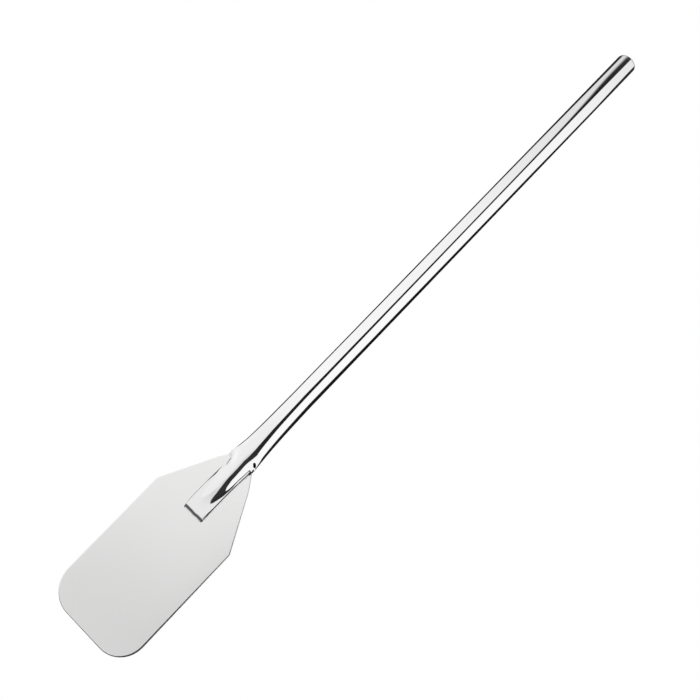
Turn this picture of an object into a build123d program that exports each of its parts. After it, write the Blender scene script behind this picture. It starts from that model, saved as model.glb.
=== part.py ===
from build123d import *
import math
import os

# Stainless stirring paddle: a round tube handle whose end is slit, spread and pressed
# flat onto both faces of a sheet blade.
# Frame: +X along the handle (away from the blade), +Z up, the paddle lying on its back.
# "u" below is the distance from the free end of the handle, measured towards the blade.

# ---- driving dimensions (mm) ----
overall_length = 914.4          # 36 in
tube_d = 25.4                   # 1 in tube
tube_wall = 1.2
blade_width = 115.2             # 4 1/2 in nominal
blade_t = 1.5
blade_end_radius = 32.0
shoulder_radius = 4.0
shoulder_u = (753.7, 757.8)     # where the shoulders meet the straight sides, left and right
shoulder_slope = 0.528          # sideways rise of a shoulder per millimetre of length
bend_u = (694.5, 697.0)         # the shoulders get a little steeper from here to the top edge
bend_radius = 30.0
blade_top_u = 681.5             # top edge of the blade, hidden between the tongues
blade_top_half = (18.1, 14.6)   # its ends, from the blade's centre line
blade_top_radius = 4.0
blade_edge_r = 0.5              # sheet edges are deburred
handle_offset = 2.5             # the handle sits a little to one side of the blade's centre line

flare_u = 585.0                 # the round tube ends here
slot_root_u = 671.0             # saw cuts in both sides of the tube start here
wing_end_u = 684.0              # the wide roots of the tongues stop here
tongue_end_u = 756.2
tongue_left = 13.5              # tongue edges, from the tube axis
tongue_right = 14.2
tongue_corner_r = 2.0
fold_hole_w = 3.0               # small opening in the fold on the right side
fold_hole_l = 5.4
left_slit_w = 2.0               # narrow opening that runs on from the notch on the left side
left_slit_l = 8.9
left_slit_angle = 10.5

cap_t = 4.0                     # depth of the end cap, a shallow cup with a rounded rim
cap_edge_r = 2.2
cap_recess_r = 9.5
cap_floor = 1.6
weld_leg = 0.6                  # groove of the end cap's seam

spot_d = 5.0
spot_depth = 0.7                # how deep a nugget reaches into each tongue
spot_u = (737.5, 746.5)
spot_spacing = 15.0

# ---- derived ----
tube_r = tube_d / 2
half_t = blade_t / 2
flat_z = half_t + tube_wall     # outer face of a tongue above the blade's middle plane
axis_z = tube_r                 # the tube rests on z = 0
axis_y = handle_offset


def at_x(u):
    return overall_length / 2 - u


# ---- the upper tongue, one row for each cross-section ----
# u, half width, crest height, ridge half width, wing height, wall, sideways shift of the crest
tongue_rows = [
    (667.0, 14.9, 9.38, 20.0, 3.6, 0.9, -1.6),
    (677.0, 15.9, 8.45, 14.8, 3.5, 1.1, -2.1),
    (684.0, 16.5, 7.55, 11.8, 2.75, 1.2, -2.2),
    (691.0, 16.5, 6.50, 10.8, 2.15, 1.2, -2.2),
    (698.0, 16.5, 5.35, 10.3, flat_z, 1.24, -2.2),
    (708.0, 16.5, 3.95, 9.4, flat_z, 1.24, -2.2),
    (718.0, 16.5, 2.95, 8.2, flat_z, 1.24, -2.2),
    (730.0, 16.5, 2.22, 7.0, flat_z, 1.24, -2.2),
    (742.0, 16.5, flat_z, 6.5, flat_z, 1.24, -2.2),
    (758.0, 16.5, flat_z, 6.5, flat_z, 1.24, -2.2),
]


def ridge_height(row, q):
    """Height of a tongue's outer face above the blade's middle plane, q across from the tube axis."""
    u, a, crest, ridge, wing, wall, shift = row
    if u < 670:
        # on the oval tube
        return crest * math.sqrt(1.0 - ((q - shift) / (16.3 + (shift if q < shift else -shift))) ** 2) - 0.12
    s = 1.0 - ((q - shift) / ridge) ** 2
    return wing + (crest - wing) * 0.5 * (s + math.sqrt(s * s + 0.02))


def strip_face(row):
    """Closed cross-section of the upper tongue: outer face, edge, inner face, edge."""
    u, a, crest, ridge, wing, wall, shift = row
    n = 12
    outer, inner = [], []
    for i in range(n + 1):
        q = -a + 2 * a * i / n
        z = ridge_height(row, q)
        slope = (ridge_height(row, q + 0.01) - ridge_height(row, q - 0.01)) / 0.02
        m = math.hypot(1.0, slope)
        outer.append((axis_y + q, axis_z + z))
        inner.append((axis_y + q + slope / m * wall, axis_z + z - wall / m))
    par = [i / n for i in range(n + 1)]
    with BuildSketch(Plane.YZ.offset(at_x(u))) as sk:
        with BuildLine():
            add(Edge.make_spline(outer, parameters=par))
            Line(outer[-1], inner[-1])
            add(Edge.make_spline(inner[::-1], parameters=par))
            Line(inner[0], outer[0])
        make_face()
    return sk.sketch


# ---- spot weld nuggets: two pairs through tongue, blade and tongue ----
spot_places = [
    (at_x(u), axis_y + (tongue_left - tongue_right) / 2 + side * spot_spacing / 2)
    for u in spot_u
    for side in (-1, 1)
]
with BuildPart() as spot_welds:
    with BuildSketch(Plane.XY.offset(axis_z - half_t - spot_depth)):
        with Locations(*spot_places):
            Circle(spot_d / 2)
    extrude(amount=blade_t + 2 * spot_depth)
spot_welds.part.label = "spot_welds"

# ---- handle tube: straight tube, spread end and two tongues ----
with BuildPart() as upper_tongue:
    loft([strip_face(r) for r in tongue_rows])
    # narrow the tongue beyond the wide roots, with rounded corners at its end
    with BuildSketch(Plane.XY.offset(axis_z)):
        with Locations(((at_x(tongue_end_u) - 10 + at_x(wing_end_u)) / 2, axis_y)):
            Rectangle(at_x(wing_end_u) - at_x(tongue_end_u) + 10, 80)
        with Locations(((at_x(tongue_end_u) + at_x(wing_end_u) + 20) / 2, axis_y + (tongue_left - tongue_right) / 2)):
            RectangleRounded(at_x(wing_end_u) + 20 - at_x(tongue_end_u), tongue_left + tongue_right,
                             tongue_corner_r, mode=Mode.SUBTRACT)
    extrude(amount=20, mode=Mode.SUBTRACT)
    # its inner face lies flat on the blade
    with BuildSketch(Plane.XY.offset(axis_z - 3.0)):
        with Locations(((at_x(slot_root_u + 8) + at_x(tongue_end_u) - 10) / 2, axis_y)):
            Rectangle(at_x(slot_root_u + 8) - at_x(tongue_end_u) + 10, 60)
    extrude(amount=3.0 + half_t, mode=Mode.SUBTRACT)

# the round tube spreads into an oval: u, half width, half height
oval_rows = (
    (flare_u, tube_r, tube_r),
    (628.0, 13.65, 11.75),
    (655.0, 14.95, 10.45),
    (slot_root_u, 16.3, 9.3),
)
with BuildPart() as handle_tube:
    with BuildSketch(Plane.YZ.offset(at_x(flare_u))):
        with Locations((axis_y, axis_z)):
            Circle(tube_r)
    extrude(amount=flare_u - cap_t)
    chamfer(handle_tube.edges().group_by(Axis.X)[-1], weld_leg)
    for u, rx, rz in oval_rows:
        with BuildSketch(Plane.YZ.offset(at_x(u))):
            with Locations((axis_y, axis_z)):
                Ellipse(rx, rz)
    loft()
    # bore
    with BuildSketch(Plane.YZ.offset(at_x(flare_u))):
        with Locations((axis_y, axis_z)):
            Circle(tube_r - tube_wall)
    extrude(amount=flare_u, mode=Mode.SUBTRACT)
    for u, rx, rz in oval_rows:
        with BuildSketch(Plane.YZ.offset(at_x(u))):
            with Locations((axis_y, axis_z)):
                Ellipse(rx - tube_wall, rz - tube_wall)
    loft(mode=Mode.SUBTRACT)
    # tongues on both faces of the blade
    add(upper_tongue.part)
    add(upper_tongue.part.mirror(Plane.XY.offset(axis_z)))
    # small opening left in the fold beside the upper tongue's root
    with BuildSketch(Plane.XY.offset(axis_z + 1.0)):
        with Locations((at_x(672.9), axis_y - 13.7)):
            SlotOverall(fold_hole_l, fold_hole_w, rotation=45)
    extrude(amount=12, mode=Mode.SUBTRACT)
    # narrow opening from the notch into the left of the upper tongue
    with BuildSketch(Plane.XY.offset(axis_z + half_t)):
        with Locations((at_x(688.7), axis_y + 10.1)):
            SlotOverall(left_slit_l, left_slit_w, rotation=left_slit_angle)
    extrude(amount=12, mode=Mode.SUBTRACT)
    # seats of the weld nuggets in the tongues
    add(spot_welds.part, mode=Mode.SUBTRACT)
handle_tube.part.label = "handle_tube"

# ---- blade ----
side_l = blade_width / 2
side_r = -blade_width / 2
bend_l = side_l - (shoulder_u[0] - bend_u[0]) * shoulder_slope
bend_r = side_r + (shoulder_u[1] - bend_u[1]) * shoulder_slope
with BuildPart() as blade:
    with BuildSketch(Plane.XY.offset(axis_z - half_t)) as blade_plan:
        with BuildLine():
            Polyline(
                (at_x(blade_top_u), blade_top_half[0]), (at_x(bend_u[0]), bend_l), (at_x(shoulder_u[0]), side_l),
                (at_x(overall_length), side_l), (at_x(overall_length), side_r),
                (at_x(shoulder_u[1]), side_r), (at_x(bend_u[1]), bend_r), (at_x(blade_top_u), -blade_top_half[1]),
                close=True,
            )
        make_face()
        fillet(blade_plan.vertices().group_by(Axis.X)[0], blade_end_radius)
        fillet(blade_plan.vertices().group_by(Axis.X)[-1], blade_top_radius)
        fillet([v for v in blade_plan.vertices() if min(abs(v.X - at_x(u)) for u in shoulder_u) < 0.01],
               shoulder_radius)
        fillet([v for v in blade_plan.vertices() if min(abs(v.X - at_x(u)) for u in bend_u) < 0.01], bend_radius)
    extrude(amount=blade_t)
    fillet(
        blade.faces().sort_by(Axis.Z)[-1].edges() + blade.faces().sort_by(Axis.Z)[0].edges(),
        blade_edge_r,
    )
    add(spot_welds.part, mode=Mode.SUBTRACT)
blade.part.label = "blade"

# ---- end cap: a disc closing the free end of the handle ----
with BuildPart() as end_cap:
    with BuildSketch(Plane.YZ.offset(at_x(cap_t))):
        with Locations((axis_y, axis_z)):
            Circle(tube_r)
    extrude(amount=cap_t)
    fillet(end_cap.edges().group_by(Axis.X)[-1], cap_edge_r)
    chamfer(end_cap.edges().group_by(Axis.X)[0], weld_leg)
    with BuildSketch(Plane.YZ.offset(at_x(cap_t))):
        with Locations((axis_y, axis_z)):
            Circle(cap_recess_r)
    extrude(amount=cap_t - cap_floor, mode=Mode.SUBTRACT)
end_cap.part.label = "end_cap"

# ---- weld seam around the end cap, ground flush ----
with BuildPart() as cap_weld:
    with BuildSketch(Plane.XZ.offset(-axis_y)):
        with BuildLine():
            Polyline(
                (at_x(cap_t) - weld_leg, axis_z + tube_r),
                (at_x(cap_t) + weld_leg, axis_z + tube_r),
                (at_x(cap_t), axis_z + tube_r - weld_leg),
                close=True,
            )
        make_face()
    revolve(axis=Axis((0, axis_y, axis_z), (1, 0, 0)))
cap_weld.part.label = "cap_weld"

# ---- write the pieces ----
os.makedirs("parts", exist_ok=True)
export_step(handle_tube.part, "parts/handle_tube.step")
export_step(blade.part, "parts/blade.step")
export_step(spot_welds.part, "parts/spot_welds.step")
export_step(end_cap.part, "parts/end_cap.step")
export_step(cap_weld.part, "parts/cap_weld.step")
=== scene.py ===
import math

import bmesh
import bpy
from mathutils import Matrix, Vector


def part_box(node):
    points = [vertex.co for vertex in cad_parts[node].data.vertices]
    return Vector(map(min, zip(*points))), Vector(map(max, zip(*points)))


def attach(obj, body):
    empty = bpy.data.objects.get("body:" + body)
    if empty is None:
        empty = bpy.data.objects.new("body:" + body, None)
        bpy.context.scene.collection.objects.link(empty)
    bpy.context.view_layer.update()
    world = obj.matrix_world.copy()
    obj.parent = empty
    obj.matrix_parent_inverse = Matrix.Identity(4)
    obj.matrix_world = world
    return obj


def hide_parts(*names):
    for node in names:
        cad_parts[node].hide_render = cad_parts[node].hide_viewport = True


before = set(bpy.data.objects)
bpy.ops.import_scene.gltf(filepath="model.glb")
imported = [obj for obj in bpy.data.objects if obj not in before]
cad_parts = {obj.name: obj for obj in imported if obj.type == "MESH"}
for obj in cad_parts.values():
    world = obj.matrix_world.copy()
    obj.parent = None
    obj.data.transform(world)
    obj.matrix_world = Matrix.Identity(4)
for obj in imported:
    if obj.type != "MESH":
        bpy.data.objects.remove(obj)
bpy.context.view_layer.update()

MM = 0.001

# ------------------------------------------------------------------ frame of the part
# u: distance from the handle's free end, q: sideways from the tube axis (+Y), z: above the axis
cap_lo, cap_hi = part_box("end_cap")
END_X = cap_hi.x
AXIS_Y = (cap_lo.y + cap_hi.y) / 2
AXIS_Z = (cap_lo.z + cap_hi.z) / 2
TUBE_R = (cap_hi.z - cap_lo.z) / 2 / MM
blade_lo, blade_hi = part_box("blade")
HALF_T = (blade_hi.z - blade_lo.z) / 2 / MM
BLADE_TOP = (END_X - blade_hi.x) / MM
BLADE_END = (END_X - blade_lo.x) / MM
BLADE_HALF = (blade_hi.y - blade_lo.y) / 2 / MM
BLADE_Q = ((blade_hi.y + blade_lo.y) / 2 - AXIS_Y) / MM
tube_lo, tube_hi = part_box("handle_tube")
TONGUE_END = (END_X - tube_lo.x) / MM
WALL = 1.2


def P(u, q, z):
    return (END_X - u * MM, AXIS_Y + q * MM, AXIS_Z + z * MM)


# ------------------------------------------------------------------ camera
cam_data = bpy.data.cameras.new("camera")
cam_data.sensor_width = 36.0
cam_data.lens = 38.618
cam_data.clip_start = 0.05
cam_data.clip_end = 50.0
cam_data.dof.use_dof = False
cam = bpy.data.objects.new("camera", cam_data)
bpy.context.scene.collection.objects.link(cam)
right = Vector((0.68306105, -0.73034961, 0.00412982))
up = Vector((0.70846343, 0.66394499, 0.23928355))
back = Vector((-0.17750262, -0.16051944, 0.97094095))
m = Matrix((right, up, back)).transposed().to_4x4()
m.translation = Vector((-0.20063021, -0.13386836, 0.83812565))
cam.matrix_world = m
bpy.context.scene.camera = cam


# ------------------------------------------------------------------ small helpers
def smooth(a, b, x):
    t = min(1.0, max(0.0, (x - a) / (b - a)))
    return t * t * (3 - 2 * t)


def curve(rows, x, k=1):
    """Monotone cubic through rows of (x, y, ...), column k."""
    xs = [r[0] for r in rows]
    ys = [r[k] for r in rows]
    if x <= xs[0]:
        return ys[0]
    if x >= xs[-1]:
        return ys[-1]
    n = len(xs)
    d = [(ys[i + 1] - ys[i]) / (xs[i + 1] - xs[i]) for i in range(n - 1)]
    s = [d[0]] + [0.0] * (n - 2) + [d[-1]]
    for i in range(1, n - 1):
        if d[i - 1] * d[i] > 0:
            w1 = 2 * (xs[i + 1] - xs[i]) + (xs[i] - xs[i - 1])
            w2 = (xs[i + 1] - xs[i]) + 2 * (xs[i] - xs[i - 1])
            s[i] = (w1 + w2) / (w1 / d[i - 1] + w2 / d[i])
    for i in range(n - 1):
        if x <= xs[i + 1]:
            h = xs[i + 1] - xs[i]
            t = (x - xs[i]) / h
            return (
                ys[i] * (1 + 2 * t) * (1 - t) ** 2 + s[i] * h * t * (1 - t) ** 2
                + ys[i + 1] * t * t * (3 - 2 * t) + s[i + 1] * h * t * t * (t - 1)
            )


def mesh_object(name, verts, faces, sharp=None):
    me = bpy.data.meshes.new(name)
    me.from_pydata(verts, [], faces)
    me.validate()
    me.update()
    for p in me.polygons:
        p.use_smooth = True
    if sharp:
        me.set_sharp_from_angle(angle=math.radians(sharp))
    ob = bpy.data.objects.new(name, me)
    bpy.context.scene.collection.objects.link(ob)
    return ob


# ------------------------------------------------------------------ handle tube
N = 72                       # spaces across the upper half of a cross-section
SIDE = 90.0 / (N + 1)        # half the angle of the strip that joins the two halves

oval = [  # u, half width on the right, half height, sideways shift of the crest, half width on the left
    (585.0, TUBE_R, TUBE_R, 0.0, TUBE_R), (606.0, 13.1, 12.3, -0.1, 12.95), (628.0, 13.65, 11.75, -0.4, 13.25),
    (642.0, 14.2, 11.1, -0.9, 13.6), (655.0, 14.95, 10.45, -1.35, 14.15), (663.0, 15.55, 9.9, -1.65, 14.9),
    (671.0, 16.2, 9.3, -1.7, 15.9), (684.0, 16.5, 7.6, -1.5, 16.5),
]
# u, height of the crest above the wing, half width on the left, half width of the round crest on the right,
# half width at the foot on the right, wing height, sideways shift of the crest
ridge_rows = [
    (656.0, 7.30, 22.0, 14.9, 14.9, 3.05, -1.35),
    (667.0, 6.00, 17.6, 11.5, 11.5, 3.45, -1.65),
    (677.0, 5.15, 13.8, 11.3, 11.3, 3.30, -1.15),
    (684.0, 4.80, 11.2, 11.5, 10.9, 2.75, -1.1),
    (691.0, 4.35, 10.3, 11.25, 10.4, 2.20, -1.05),
    (698.0, 3.80, 10.0, 10.8, 9.7, 1.95, -1.1),
    (708.0, 2.92, 9.3, 9.75, 9.35, 1.95, -1.25),
    (718.0, 1.63, 8.5, 9.1, 9.1, 1.95, -1.25),
    (725.0, 0.86, 7.8, 8.6, 8.6, 1.95, -0.95),
    (731.0, 0.44, 7.1, 8.2, 8.2, 1.95, -0.45),
    (738.0, 0.12, 6.5, 7.5, 7.5, 1.95, -0.3),
    (745.0, 0.0, 6.5, 6.5, 6.5, 1.95, -0.4),
    (760.0, 0.0, 6.5, 6.5, 6.5, 1.95, -0.4),
]
SLOT_ROOT = 671.0
edge_left = [(671.0, 15.9), (677.0, 16.3), (683.2, 16.5), (683.8, 16.1), (684.1, 15.0), (684.35, 13.6),
             (684.9, 13.0), (690.0, 13.1), (700.0, 13.1), (712.0, 13.4), (727.0, 13.7), (738.0, 13.7),
             (746.0, 13.4), (TONGUE_END - 4.0, 12.9), (TONGUE_END - 2.0, 12.5), (TONGUE_END - 0.8, 11.9),
             (TONGUE_END - 0.2, 11.1), (TONGUE_END, 10.3)]
edge_right = [(671.0, 16.2), (677.0, 16.45), (683.2, 16.4), (683.8, 16.2), (684.3, 16.1), (685.5, 15.9),
              (690.0, 15.6), (695.0, 15.25), (700.0, 14.9), (707.0, 14.6), (713.0, 14.4), (727.0, 14.2), (TONGUE_END - 3.4, 14.2),
              (TONGUE_END - 1.8, 13.9), (TONGUE_END - 0.8, 13.3), (TONGUE_END - 0.2, 12.5), (TONGUE_END, 11.7)]
curl_rows = [(684.0, 0.0), (695.0, 0.15), (701.0, 0.7), (707.5, 1.35), (714.0, 0.95), (721.0, 0.5), (745.0, 0.4),
             (757.0, 0.1)]
roll_rows = [  # u, width and depth of the fall along the right edge
    (685.0, 1.2, 0.24), (695.0, 1.2, 0.24), (705.0, 1.2, 0.21), (735.0, 1.4, 0.205), (745.0, 2.7, 0.15),
    (751.0, 4.0, 0.18), (757.0, 4.2, 0.19)]


def end_drop(x):
    """How far the far end has fallen away, x from the start of the slope (5.6 long)."""
    if x <= 0.1:
        return 0.0
    total, n = 0.0, 24
    for i in range(n):
        y = 0.1 + (x - 0.1) * (i + 0.5) / n
        total += smooth(0.1, 1.8, y) * (1 - 0.8 * smooth(2.7, 5.6, y))
    return 0.30 * total * (x - 0.1) / n


def outer(u, p):
    """Point (q, z) of the upper half's outer face, p from -90 (right, -Y) to 90 (left, +Y)."""
    rad = math.radians(p)
    s, c = math.sin(rad), math.cos(rad)
    a, b, sh = curve(oval, u, 1 if s < 0 else 4), curve(oval, u, 2), curve(oval, u, 3)
    q, ze = a * s + sh * c * c, b * c
    if u <= 656.0:
        return q, ze
    if u > SLOT_ROOT:
        ql, qr = curve(edge_left, u), -curve(edge_right, u)
        k = smooth(SLOT_ROOT, 684.0, u)
        q = (1 - k) * q + k * ((ql + qr) / 2 + (ql - qr) / 2 * s)
        # the two ends of the section follow the plan outline exactly
        w = abs(s) ** 24
        q = (1 - w) * q + w * (ql if s > 0 else qr)
    high, left, wp, foot, wing, shift = (curve(ridge_rows, u, i) for i in range(1, 7))
    x = q - shift
    if x > 0:
        t = 1.0 - (x / left) ** 2
    else:
        t = 1.0 - (x / wp) ** 2 - (1.0 - (foot / wp) ** 2) * (x / foot) ** 6
    zr = wing + high * 0.5 * (t + math.sqrt(t * t + 0.004 + 0.012 * smooth(684.0, 698.0, u) + 0.048 * smooth(697.0, 706.0, u)))
    e = abs(s) ** 10
    m0 = smooth(656.0 + 15.0 * e, 684.0 - 6.0 * e, u)
    z = (1 - m0) * ze + m0 * zr
    if u > TONGUE_END - 7.0:
        x = min(5.6, u - (TONGUE_END - 5.6) - 0.25 * smooth(3.0, -1.0, q) + 0.45 * smooth(-2.5, -5.5, q))
        z -= end_drop(x) * (1 - 0.3 * smooth(10.2, 13.0, q))
    if u > 674.0:
        # a shallow fall towards the right edge, and a crease that runs on from it to the fold
        if u > 684.5:
            ql, qr = curve(edge_left, u), -curve(edge_right, u)
            w, deep = curve(roll_rows, u), curve(roll_rows, u, 2)
            d = (qr + w + 0.3 - q) / w
            z -= deep * max(0.0, d) ** 1.3 if d > 0 else 0.0
            r = 0.5
            d = q - qr
            if d < r:
                z -= min(0.4, r - math.sqrt(max(0.0, r * r - (r - d) ** 2)))
            # the left edge stands up a little
            w = curve(curl_rows, u)
            d = w + 0.35 - (ql - q)
            if d > 0 and w > 0.02:
                z += 0.185 * min(d, w) if d > 0.2 else 0.185 * d * d / 0.4
            d = ql - q
            r = 0.4
            if d < r:
                z -= min(0.35, r - math.sqrt(max(0.0, r * r - (r - d) ** 2)))
        # the flank runs on into the fold on the right
        rise = smooth(668.0, 675.0, u)
        first, second = 12.2, 14.9 - 0.1 * (u - 677.0)
        for start, slope, k in ((first, 0.40, 1 - smooth(678.3, 681.3, u)),
                                (second, 0.06 + 0.13 * smooth(677.5, 680.5, u),
                                 1 - smooth(682.0, 686.0, u))):
            d = -q - start
            if d > -0.3:
                low = (d + 0.3) ** 2 / 1.2 if d < 0.3 else d
                if start == first:
                    over = -q - second
                    low -= (over + 0.3) ** 2 / 1.2 if abs(over) < 0.3 else max(0.0, over)
                z -= slope * k * rise * low
    return q, z


def section(u):
    """Outer and inner rows of the upper half at u."""
    out = [outer(u, -90 + SIDE + 2 * SIDE * j) for j in range(N + 1)]
    inn = []
    for j, (q, z) in enumerate(out):
        q0, z0 = out[max(0, j - 1)]
        q1, z1 = out[min(N, j + 1)]
        h = math.hypot(q1 - q0, z1 - z0) or 1.0
        if u <= 684.0:
            k = smooth(674.0, 684.0, u)
            nq, nz = (1 - k) * (z0 - z1) / h, (1 - k) * (q1 - q0) / h + k
            l = math.hypot(nq, nz)
            qi, zi = q - WALL * nq / l, z - WALL * nz / l
        else:
            qi, zi = q, z - WALL
        if u > SLOT_ROOT:
            zi = max(zi, min(z - 0.1, HALF_T * smooth(SLOT_ROOT, 678.0, u)))
        if u > BLADE_TOP:
            zi = max(zi, HALF_T + 0.005)
        inn.append((qi, zi))
    return out, inn


def build_tube():
    cap_t = (cap_hi.x - cap_lo.x) / MM
    us = [cap_t, cap_t + 0.6, cap_t + 4, cap_t + 40]
    us += [cap_t + 40 + (560 - cap_t - 40) * i / 12 for i in range(1, 13)]
    us += [560 + 25 * i / 6 for i in range(1, 7)]
    us += [585 + (660 - 585) * i / 50 for i in range(1, 51)]
    us += [660 + 11 * i / 14 for i in range(1, 15)]
    closed = len(us)  # the last of these is the root of the saw cuts
    us += [671 + 12 * i / 20 for i in range(1, 21)]
    us += [683.2, 683.5, 683.8, 684.0, 684.15, 684.3, 684.45, 684.6, 684.9, 685.3, 685.8]
    us += [685.8 + (748 - 685.8) * i / 80 for i in range(1, 81)]
    us += [748 + (TONGUE_END - 748) * (1 - (1 - i / 34) ** 1.4) for i in range(1, 35)]
    verts, faces, rows = [], [], []

    def add(row, u, sign):
        ids = []
        for q, z in row:
            verts.append(P(u, q, sign * z))
            ids.append(len(verts) - 1)
        return ids

    for i, u in enumerate(us):
        out, inn = section(u)
        if i == 0:  # the seam groove's lower edge
            out = [(q * (TUBE_R - 0.6) / TUBE_R, z * (TUBE_R - 0.6) / TUBE_R) for q, z in out]
        edges = {}
        for sign in (1, -1):
            o, n_ = add(out, u, sign), add(inn, u, sign)
            rows_edge = []
            if i >= closed:  # free side edges: one extra row between outer and inner
                for j in (0, N):
                    (q0, z0), (q1, z1) = out[j], inn[j]
                    verts.append(P(u, q0 * 0.5 + q1 * 0.5, sign * (z0 * 0.5 + z1 * 0.5)))
                    rows_edge.append(len(verts) - 1)
            edges[sign] = (o, n_, rows_edge)
        rows.append(edges)

    def quad(a, b, c, d, flip):
        faces.append((a, b, c, d) if not flip else (d, c, b, a))

    for i in range(len(us) - 1):
        A, B = rows[i], rows[i + 1]
        for sign in (1, -1):
            f = sign < 0
            oa, ia, ea = A[sign]
            ob, ib, eb = B[sign]
            for j in range(N):
                quad(oa[j], ob[j], ob[j + 1], oa[j + 1], f)
                quad(ia[j + 1], ib[j + 1], ib[j], ia[j], f)
            if i >= closed - 1:
                for k, j in enumerate((0, N)):
                    g = f if j == 0 else not f
                    if i == closed - 1:  # from the closed ring's wall
                        faces.append((ia[j], eb[k], ob[j], oa[j]) if not g else (oa[j], ob[j], eb[k], ia[j]))
                        faces.append((ia[j], ib[j], eb[k]) if not g else (eb[k], ib[j], ia[j]))
                    else:
                        quad(ea[k], eb[k], ob[j], oa[j], g)
                        quad(ia[j], ib[j], eb[k], ea[k], g)
        if i < closed - 1:  # the strips that join the halves
            for j in (0, N):
                g = j == 0
                a, b = A[1], B[1]
                c, d = A[-1], B[-1]
                quad(a[0][j], b[0][j], d[0][j], c[0][j], g)
                quad(c[1][j], d[1][j], b[1][j], a[1][j], g)
    # root faces of the saw cuts
    R = rows[closed - 1]
    for j in (0, N):
        quad(R[1][0][j], R[-1][0][j], R[-1][1][j], R[1][1][j], j != 0)
    # far ends of the tongues
    E = rows[-1]
    for sign in (1, -1):
        o, n_, e = E[sign]
        f = sign < 0
        for j in range(N):
            quad(o[j], n_[j], n_[j + 1], o[j + 1], f)
        faces.append((o[0], e[0], n_[0]) if not f else (n_[0], e[0], o[0]))
        faces.append((o[N], n_[N], e[1]) if not f else (e[1], n_[N], o[N]))
    # start of the tube
    S = rows[0]
    for sign in (1, -1):
        o, n_, e = S[sign]
        for j in range(N):
            quad(o[j], o[j + 1], n_[j + 1], n_[j], sign < 0)
    for j in (0, N):
        quad(S[1][0][j], S[1][1][j], S[-1][1][j], S[-1][0][j], j == 0)
    return mesh_object("tube", verts, faces, sharp=38)


tube = build_tube()


def close_up(ob):
    """Joins coincident points and turns every face outwards."""
    bm = bmesh.new()
    bm.from_mesh(ob.data)
    bmesh.ops.remove_doubles(bm, verts=bm.verts, dist=2e-7)
    bmesh.ops.dissolve_degenerate(bm, edges=bm.edges, dist=2e-7)
    bmesh.ops.recalc_face_normals(bm, faces=bm.faces)
    if bm.calc_volume(signed=True) < 0:
        bmesh.ops.reverse_faces(bm, faces=bm.faces)
    bm.to_mesh(ob.data)
    bm.free()


def cut_slots(ob, slots):
    """Cuts small slotted openings through the upper wall: (u0, q0, u1, q1, width)."""
    close_up(ob)
    bm = bmesh.new()
    bm.from_mesh(ob.data)
    for u0, q0, u1, q1, width in slots:
        n = 9
        dx, dy = u1 - u0, q1 - q0
        l = math.hypot(dx, dy)
        ax, ay = dx / l, dy / l
        r = width / 2
        planes = []  # point and outward direction of each side of the slot, in u and q
        for (cu, cq), s in (((u0 + ax * r, q0 + ay * r), -1), ((u1 - ax * r, q1 - ay * r), 1)):
            for k in range(n + 1):
                t = math.pi * k / n - math.pi / 2
                c, d = math.cos(t) * s, math.sin(t) * s
                nu, nq = ax * c - ay * d, ay * c + ax * d
                planes.append((cu + r * nu, cq + r * nq, nu, nq))
        mu, mq = (u0 + u1) / 2, (q0 + q1) / 2
        lo, hi = P(mu, mq, 0.3), P(mu, mq, 20)
        reach = (l / 2 + width) * MM
        faces = [f for f in bm.faces if all(v.co.z > lo[2] for v in f.verts)
                 and any(abs(v.co.x - lo[0]) < reach and abs(v.co.y - lo[1]) < reach for v in f.verts)]
        for pu, pq, nu, nq in planes:
            geom = set(faces)
            for f in faces:
                geom.update(f.edges)
                geom.update(f.verts)
            co, no = Vector(P(pu, pq, 0)), Vector((-nu, nq, 0))
            res = bmesh.ops.bisect_plane(bm, geom=list(geom), dist=1e-8, plane_co=co, plane_no=no)
            cand = {g for g in res["geom"] if isinstance(g, bmesh.types.BMFace)}
            faces = [f for f in cand if (f.calc_center_median() - co).dot(no) < -1e-9]
        bmesh.ops.delete(bm, geom=faces, context="FACES")
        rim = [e for e in bm.edges if len(e.link_faces) == 1]
        bmesh.ops.bridge_loops(bm, edges=rim)
    bmesh.ops.recalc_face_normals(bm, faces=bm.faces)
    bm.to_mesh(ob.data)
    bm.free()
    for p in ob.data.polygons:
        p.use_smooth = True
    ob.data.set_sharp_from_angle(angle=math.radians(38))


cut_slots(tube, [(670.8, -11.3, 674.7, -15.2, 3.0), (684.4, 10.8, 693.0, 9.2, 2.3)])


# ------------------------------------------------------------------ blade
def blade_arcs():
    slope = 0.528
    sl, sr, bl_, br = 753.7, 757.8, 694.5, 697.0
    pts = [  # u, distance from the blade's centre line, radius
        (BLADE_TOP, 18.1, 4.0), (bl_, BLADE_HALF - (sl - bl_) * slope, 30.0), (sl, BLADE_HALF, 4.0),
        (BLADE_END, BLADE_HALF, 32.0), (BLADE_END, -BLADE_HALF, 32.0), (sr, -BLADE_HALF, 4.0),
        (br, (sr - br) * slope - BLADE_HALF, 30.0), (BLADE_TOP, -14.6, 4.0),
    ]
    arcs = []
    k = len(pts)
    for i in range(k):
        (ua, qa, _), (ub, qb, r), (uc, qc, _) = pts[i - 1], pts[i], pts[(i + 1) % k]
        a = Vector((ua - ub, qa - qb)).normalized()
        c = Vector((uc - ub, qc - qb)).normalized()
        half = a.angle(c) / 2
        mid = (a + c).normalized()
        centre = Vector((ub, qb)) + mid * (r / math.sin(half))
        # directions from the centre to the two tangent points
        t0 = (Vector((ub, qb)) + a * (r / math.tan(half)) - centre).normalized()
        t1 = (Vector((ub, qb)) + c * (r / math.tan(half)) - centre).normalized()
        arcs.append((centre, r, math.atan2(t0.y, t0.x), math.atan2(t1.y, t1.x)))
    return arcs


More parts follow.
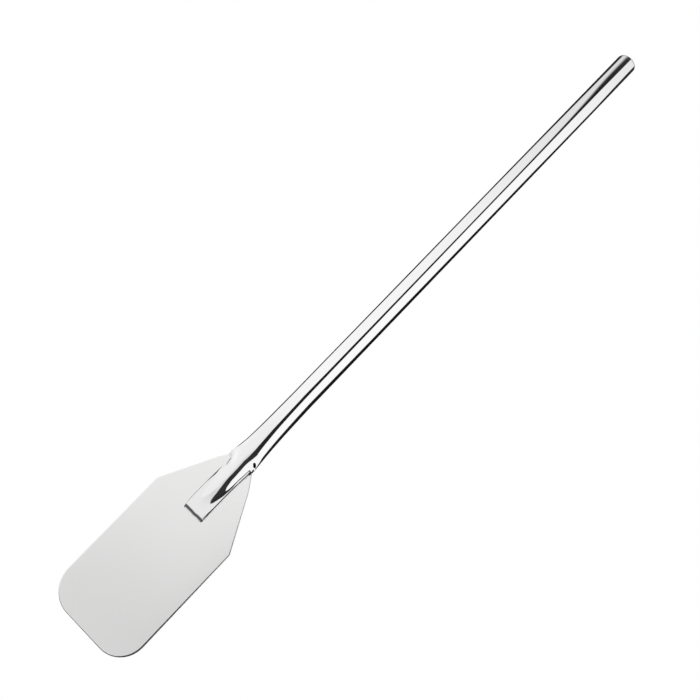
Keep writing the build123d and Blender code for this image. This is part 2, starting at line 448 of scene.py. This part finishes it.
def build_blade():
    arcs = blade_arcs()

    def ring(d):
        out = []
        for centre, r, a0, a1 in arcs:
            da = (a1 - a0 + math.pi) % (2 * math.pi) - math.pi
            n = 28 if r * abs(da) > 20 else 10
            for k in range(n + 1):
                a = a0 + da * k / n
                out.append((centre.x + (r - d) * math.cos(a), centre.y + (r - d) * math.sin(a) + BLADE_Q))
        return out

    # rounded rim, with the sheared edge rolled over more and more towards the right far corner
    base = ring(0.0)
    R = 0.5
    roll = []
    for u, q in base:
        if q < BLADE_Q:
            w = curve([(682, 0.1), (728, 0.25), (745, 0.6), (760, 0.5), (800, 0.9), (885, 1.5), (900, 1.3),
                       (914, 0.5)], u)
            w = w if u < 905 else w * smooth(-8.0, -30.0, q - BLADE_Q) + 0.25 * (1 - smooth(-8.0, -30.0, q - BLADE_Q))
        else:
            w = 0.25
        roll.append(w)
    steps = []  # inset along the rim, inset along the roll, drop as a share of the roll
    for k in range(7):
        a = math.radians(90 * k / 6)
        steps.append((R - R * math.cos(a), 0.0, 1.0, -R + R * math.sin(a)))
    for k in range(1, 6):
        steps.append((R, k / 5, (1 - k / 5) ** 1.5, 0.0))
    steps.append((R + 0.3, 1.0, 0.0, 0.0))
    verts, faces, rings = [], [], []

    def put(step, sign):
        d, e, drop, z = step
        ids = []
        for i, (w, pt) in enumerate(zip(roll, base)):
            w = w if sign > 0 else 0.2
            inset = d + e * w
            if inset not in cache:
                cache[inset] = ring(inset)
            u, q = cache[inset][i]
            verts.append(P(u, q, sign * (HALF_T + z - 0.14 * w * drop)))
            ids.append(len(verts) - 1)
        rings.append(ids)

    cache = {}
    for st in reversed(steps):
        put(st, -1)
    for st in steps:
        put(st, 1)
    k = len(rings[0])
    for a, b in zip(rings[:-1], rings[1:]):
        for i in range(k):
            j = (i + 1) % k
            faces.append((a[i], a[j], b[j], b[i]))
    faces.append(tuple(reversed(rings[0])))
    faces.append(tuple(rings[-1]))
    ob = mesh_object("paddle_blade", verts, faces)
    # face directions all outward
    bm = bmesh.new()
    bm.from_mesh(ob.data)
    bmesh.ops.recalc_face_normals(bm, faces=bm.faces)
    bm.to_mesh(ob.data)
    bm.free()
    return ob


blade = build_blade()


# ------------------------------------------------------------------ end cap and its seam
def lathe(name, prof, n=96):
    """Turns (u, radius) about the tube axis; a radius of 0 closes the end."""
    verts, faces, rings = [], [], []
    for u, r in prof:
        if r == 0:
            verts.append(P(u, 0, 0))
            rings.append([len(verts) - 1])
            continue
        ids = []
        for i in range(n):
            a = 2 * math.pi * i / n
            verts.append(P(u, r * math.sin(a), r * math.cos(a)))
            ids.append(len(verts) - 1)
        rings.append(ids)
    for a, b in zip(rings[:-1], rings[1:]):
        for i in range(n):
            j = (i + 1) % n
            if len(a) == 1:
                faces.append((a[0], b[j], b[i]))
            elif len(b) == 1:
                faces.append((a[i], a[j], b[0]))
            else:
                faces.append((a[i], a[j], b[j], b[i]))
    ob = mesh_object(name, verts, faces, sharp=50)
    bm = bmesh.new()
    bm.from_mesh(ob.data)
    bmesh.ops.recalc_face_normals(bm, faces=bm.faces)
    bm.to_mesh(ob.data)
    bm.free()
    return ob


CAP_T = (cap_hi.x - cap_lo.x) / MM
CAP_R = min(2.2, CAP_T - 0.4)
prof = [(CAP_T, 0.0), (CAP_T, 6.0), (CAP_T, TUBE_R - 0.62), (CAP_T - 0.3, TUBE_R - 0.3), (CAP_T - 0.42, TUBE_R)]
for k in range(13):
    a = math.radians(90 * k / 12)
    prof.append((CAP_R * (1 - math.sin(a)), TUBE_R - CAP_R + CAP_R * math.cos(a)))
prof += [(0.0, TUBE_R - CAP_R - 0.8), (0.0, 5.0), (0.0, 0.0)]
cap = lathe("cap", prof)
seam = lathe("cap_seam", [(CAP_T, TUBE_R - 0.62), (CAP_T - 0.41, TUBE_R - 0.06), (CAP_T - 0.38, TUBE_R - 0.004),
                          (CAP_T, TUBE_R + 0.0), (CAP_T + 0.56, TUBE_R - 0.004), (CAP_T + 0.59, TUBE_R - 0.06),
                          (CAP_T, TUBE_R - 0.62)])


# ------------------------------------------------------------------ node helpers
class Nodes:
    def __init__(self, tree):
        self.t = tree
        tree.nodes.clear()

    def new(self, kind, **props):
        n = self.t.nodes.new(kind)
        for k, v in props.items():
            setattr(n, k, v)
        return n

    def link(self, a, b):
        self.t.links.new(a, b)

    def math(self, op, a, b=None, c=None, clamp=False):
        n = self.new("ShaderNodeMath", operation=op, use_clamp=clamp)
        for i, v in enumerate((a, b, c)):
            if v is None:
                continue
            if isinstance(v, (int, float)):
                n.inputs[i].default_value = v
            else:
                self.link(v, n.inputs[i])
        return n.outputs[0]

    def step(self, x, lo, hi):
        """0 below lo, 1 above hi, smooth between."""
        n = self.new("ShaderNodeMapRange", interpolation_type="SMOOTHSTEP")
        for k, v in (("Value", x), ("From Min", lo), ("From Max", hi)):
            if isinstance(v, (int, float)):
                n.inputs[k].default_value = v
            else:
                self.link(v, n.inputs[k])
        return n.outputs[0]

    def ramp(self, x, points, lo, hi):
        """Straight lines through points of (x, y), x and y given in lo..hi of their own."""
        (x0, x1), (y0, y1) = lo, hi
        n = self.new("ShaderNodeValToRGB")
        e = n.color_ramp.elements
        while len(e) > 1:
            e.remove(e[-1])
        for i, (px, py) in enumerate(points):
            pos = (px - x0) / (x1 - x0)
            v = (py - y0) / (y1 - y0)
            el = e[0] if i == 0 else e.new(pos)
            el.position = pos
            el.color = (v, v, v, 1)
        f = self.math("DIVIDE", self.math("SUBTRACT", x, x0), x1 - x0)
        self.link(f, n.inputs[0])
        return self.math("MULTIPLY_ADD", n.outputs[0], y1 - y0, y0)


# ------------------------------------------------------------------ studio surround
def lin(g):
    g = g / 255.0
    return ((g + 0.055) / 1.055) ** 2.4 if g > 0.04045 else g / 12.92


def build_world():
    world = bpy.data.worlds.new("studio")
    bpy.context.scene.world = world
    world.use_nodes = True
    N_ = Nodes(world.node_tree)
    tc = N_.new("ShaderNodeTexCoord")
    sep = N_.new("ShaderNodeSeparateXYZ")
    N_.link(tc.outputs["Generated"], sep.inputs[0])
    x, y, z = sep.outputs
    # b: degrees towards the blade end, a: degrees round the handle's axis from straight up, + towards -Y
    b = N_.math("MULTIPLY", N_.math("ARCSINE", N_.math("MULTIPLY", x, -0.99999)), 180 / math.pi)
    a = N_.math("MULTIPLY", N_.math("ARCTAN2", N_.math("MULTIPLY", y, -1.0), z), 180 / math.pi)
    B, AN = (-60.0, 60.0), (-180.0, 180.0)
    g0 = N_.ramp(b, [(-60, -66), (-39, -60), (-37, -60), (-36, -52), (-35, -38), (-33, -17.5), (-31, -9.5), (-29, -5),
                     (-27, -3), (-23, -1.5), (-20, -1), (-16, -0.5), (-12, -2), (-8, -2.5), (-5, -4.8), (-2.5, -2.9),
                     (-1, -2.1), (2, -3), (5, -3.8), (7, -4.2), (9, -4.4), (13, -3), (17, -1), (60, 2)], B, AN)
    g1 = N_.ramp(b, [(-60, -22), (-39, -19), (-37, -25), (-36, -20), (-35, -9.5), (-33, -4.5), (-30, 0), (-27, 0.5),
                     (-23, 1), (-20, 1.5), (-16, 1.5), (-12, 0.5), (-8, 0), (-5, -2.3), (-2.5, -0.4),
                     (-1, 0.4), (2, -0.5), (5, -1.3), (7, -1.7), (9, -1.9), (13, -0.5), (17, 1.5), (60, 5)], B, AN)
    g2 = N_.ramp(b, [(-60, 18), (-38.3, 16), (-37, 14), (-36, 12), (-35, 11.8), (-33, 12.5), (-30, 15), (-27, 15),
                     (-23, 15.5), (-20, 17.5), (-16, 19), (-12, 21.5), (-8, 23), (-5, 26), (0, 27), (5, 27.5), (11, 34),
                     (60, 34)], B, AN)
    low_l = N_.ramp(b, [(-60, -86), (-38, -91), (-36.3, -93.5), (-35, -97), (-33, -100.5), (-31, -106), (-29, -109),
                        (-25, -113.5), (-17, -113), (-12, -116), (-8, -119.5), (-5, -118.5), (-2, -116), (0, -115),
                        (5, -114.5), (20, -127), (60, -150)], B, AN)
    low_r = N_.ramp(b, [(-60, 98), (-38, 105), (-36.3, 111), (-35, 120), (-33, 118.5), (-31, 117), (-28.8, 112),
                        (-25, 111.5), (-21, 109), (-16.6, 105.5), (-12.3, 105), (-8, 101.5), (-5, 99), (0, 98),
                        (10, 95), (20, 92), (30, 88), (60, 80)], B, AN)
    k = 1.0 / 0.93
    # the left box reaches further past the blade end the lower it hangs
    lower = N_.math("MULTIPLY", N_.step(N_.math("MULTIPLY", a, -1.0), 25.0, 70.0), N_.step(b, 0.0, 30.0))
    bl = N_.math("SUBTRACT", b, N_.math("MULTIPLY", lower, 30.0))
    box_l = N_.ramp(bl, [(p, lin(g) * k) for p, g in (
        (-60, 150), (-45, 190), (-38, 214), (-36, 218), (-33, 226), (-30, 231), (-27, 236), (-23, 240), (-16, 244),
        (-8, 245), (-2, 242), (2, 236), (5, 235), (10, 233), (21, 230), (23.5, 212), (26, 165), (30, 110), (36, 75),
        (60, 55))], B, (0.0, 1.2))
    # it fades softly where the flat faces see it
    near_top = N_.step(a, -16.0, -13.0)
    fade = N_.ramp(b, [(-60, 0), (0, 0), (2, 0.03), (5, 0.05), (7, 0.058), (8.5, 0.078), (10, 0.103), (11, 0.127),
                       (12.3, 0.158), (13.6, 0.189), (15, 0.21), (17, 0.21), (19, 0.13), (22, 0.06), (60, 0.05)], B, (0.0, 1.0))
    box_l = N_.math("MULTIPLY", box_l, N_.math("SUBTRACT", 1.0, N_.math("MULTIPLY", near_top, fade)))
    box_r = N_.ramp(b, [(p, lin(g) * k) for p, g in (
        (-60, 150), (-45, 205), (-38, 229), (-36, 236), (-33, 243), (-30, 246), (-27, 248), (-23, 250),
        (0, 250), (5, 246), (20, 244), (25, 236), (29, 180), (33, 60), (60, 30))], B, (0.0, 1.2))
    slit = N_.ramp(b, [(p, lin(g) * k) for p, g in (
        (-60, 60), (-38, 45), (-35, 26), (-30, 18), (-9, 20), (-3, 28), (4, 36), (14, 48), (60, 48))], B, (0.0, 1.2))
    left_on = N_.math("SUBTRACT", 1.0, N_.step(a, g0, g1))
    right_on = N_.step(a, N_.math("SUBTRACT", g2, 1.0), N_.math("ADD", g2, 1.0))
    left_low = N_.step(a, N_.math("SUBTRACT", low_l, 3.0), N_.math("ADD", low_l, 3.0))
    right_low = N_.math("SUBTRACT", 1.0, N_.step(a, N_.math("SUBTRACT", low_r, 3.0), N_.math("ADD", low_r, 3.0)))
    light = N_.math("ADD", N_.math("MULTIPLY", N_.math("MULTIPLY", left_on, left_low), box_l),
                    N_.math("MULTIPLY", N_.math("MULTIPLY", right_on, right_low), box_r))
    value = N_.math("ADD", light, slit)
    lp = N_.new("ShaderNodeLightPath")
    strength = N_.math("MAXIMUM", value, lp.outputs["Is Camera Ray"])
    bg = N_.new("ShaderNodeBackground")
    bg.inputs["Color"].default_value = (1, 1, 1, 1)
    N_.link(strength, bg.inputs["Strength"])
    out = N_.new("ShaderNodeOutputWorld")
    N_.link(bg.outputs[0], out.inputs[0])
    world.cycles.sampling_method = "MANUAL"
    world.cycles.sample_map_resolution = 1024


build_world()


# ------------------------------------------------------------------ materials
def metal(name, base, rough, grain, grain_rough, grain_bump, tint=0.02, blotch=0.02):
    """Stainless steel: fine lines along the handle, soft unevenness, faint tone changes."""
    mat = bpy.data.materials.new(name)
    mat.use_nodes = True
    t = Nodes(mat.node_tree)
    tc = t.new("ShaderNodeTexCoord")
    mp = t.new("ShaderNodeMapping")
    mp.inputs["Scale"].default_value = (grain[0], grain[1], grain[2])
    t.link(tc.outputs["Object"], mp.inputs["Vector"])
    fine = t.new("ShaderNodeTexNoise")
    fine.inputs["Scale"].default_value = 1.0
    fine.inputs["Detail"].default_value = 3.0
    fine.inputs["Roughness"].default_value = 0.6
    t.link(mp.outputs[0], fine.inputs["Vector"])
    soft = t.new("ShaderNodeTexNoise")
    soft.inputs["Scale"].default_value = 22.0
    soft.inputs["Detail"].default_value = 2.0
    t.link(tc.outputs["Object"], soft.inputs["Vector"])
    rough_v = t.math("MULTIPLY_ADD", fine.outputs["Fac"], grain_rough, rough - grain_rough / 2)
    rough_v = t.math("MULTIPLY_ADD", soft.outputs["Fac"], blotch, t.math("SUBTRACT", rough_v, blotch / 2), clamp=True)
    tone = t.new("ShaderNodeValToRGB")
    e = tone.color_ramp.elements
    e[0].position, e[1].position = 0.3, 0.7
    e[0].color = (base[0] * (1 - tint), base[1] * (1 - tint), base[2] * (1 - tint), 1)
    e[1].color = (min(1, base[0] * (1 + tint)), min(1, base[1] * (1 + tint)), min(1, base[2] * (1 + tint)), 1)
    mixf = t.math("ADD", t.math("MULTIPLY", fine.outputs["Fac"], 0.6), t.math("MULTIPLY", soft.outputs["Fac"], 0.4))
    t.link(mixf, tone.inputs[0])
    bump = t.new("ShaderNodeBump")
    bump.inputs["Strength"].default_value = grain_bump
    bump.inputs["Distance"].default_value = 0.00002
    t.link(fine.outputs["Fac"], bump.inputs["Height"])
    bsdf = t.new("ShaderNodeBsdfPrincipled")
    bsdf.inputs["Metallic"].default_value = 1.0
    t.link(tone.outputs[0], bsdf.inputs["Base Color"])
    t.link(rough_v, bsdf.inputs["Roughness"])
    t.link(bump.outputs[0], bsdf.inputs["Normal"])
    out = t.new("ShaderNodeOutputMaterial")
    t.link(bsdf.outputs[0], out.inputs[0])
    return mat


polished = metal("polished_steel", (0.93, 0.93, 0.932), 0.045, (30, 900, 900), 0.02, 0.10, 0.008, 0.01)
satin = metal("satin_steel", (0.928, 0.924, 0.921), 0.135, (40, 1400, 1400), 0.05, 0.25, 0.012, 0.03)
seam_mat = metal("seam_steel", (0.90, 0.90, 0.90), 0.12, (500, 500, 500), 0.08, 0.4, 0.02, 0.04)

for ob, mat in ((tube, polished), (cap, polished), (seam, seam_mat), (blade, satin)):
    ob.data.materials.clear()
    ob.data.materials.append(mat)

# ------------------------------------------------------------------ floor
floor_mesh = bpy.data.meshes.new("floor")
floor_mesh.from_pydata([(-6, -6, -0.0006), (6, -6, -0.0006), (6, 6, -0.0006), (-6, 6, -0.0006)], [], [(0, 1, 2, 3)])
floor = bpy.data.objects.new("floor", floor_mesh)
bpy.context.scene.collection.objects.link(floor)
fm = bpy.data.materials.new("floor_white")
fm.use_nodes = True
ft = Nodes(fm.node_tree)
em = ft.new("ShaderNodeEmission")
em.inputs["Color"].default_value = (1, 1, 1, 1)
em.inputs["Strength"].default_value = 1.0
tr = ft.new("ShaderNodeBsdfTransparent")
geo = ft.new("ShaderNodeNewGeometry")
mx = ft.new("ShaderNodeMixShader")
ft.link(geo.outputs["Backfacing"], mx.inputs[0])
ft.link(em.outputs[0], mx.inputs[1])
ft.link(tr.outputs[0], mx.inputs[2])
fo = ft.new("ShaderNodeOutputMaterial")
ft.link(mx.outputs[0], fo.inputs[0])
floor_mesh.materials.append(fm)
floor.visible_glossy = False
floor.visible_diffuse = False
floor.visible_shadow = False

# ------------------------------------------------------------------ colour
sc = bpy.context.scene
sc.view_settings.view_transform = "Standard"
sc.view_settings.look = "None"
sc.view_settings.exposure = 0.0
sc.view_settings.gamma = 1.0

# ------------------------------------------------------------------ pieces
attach(tube, "root")
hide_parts("handle_tube", "spot_welds")
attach(blade, "root")
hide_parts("blade")
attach(cap, "root")
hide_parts("end_cap")
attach(seam, "root")
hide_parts("cap_weld")
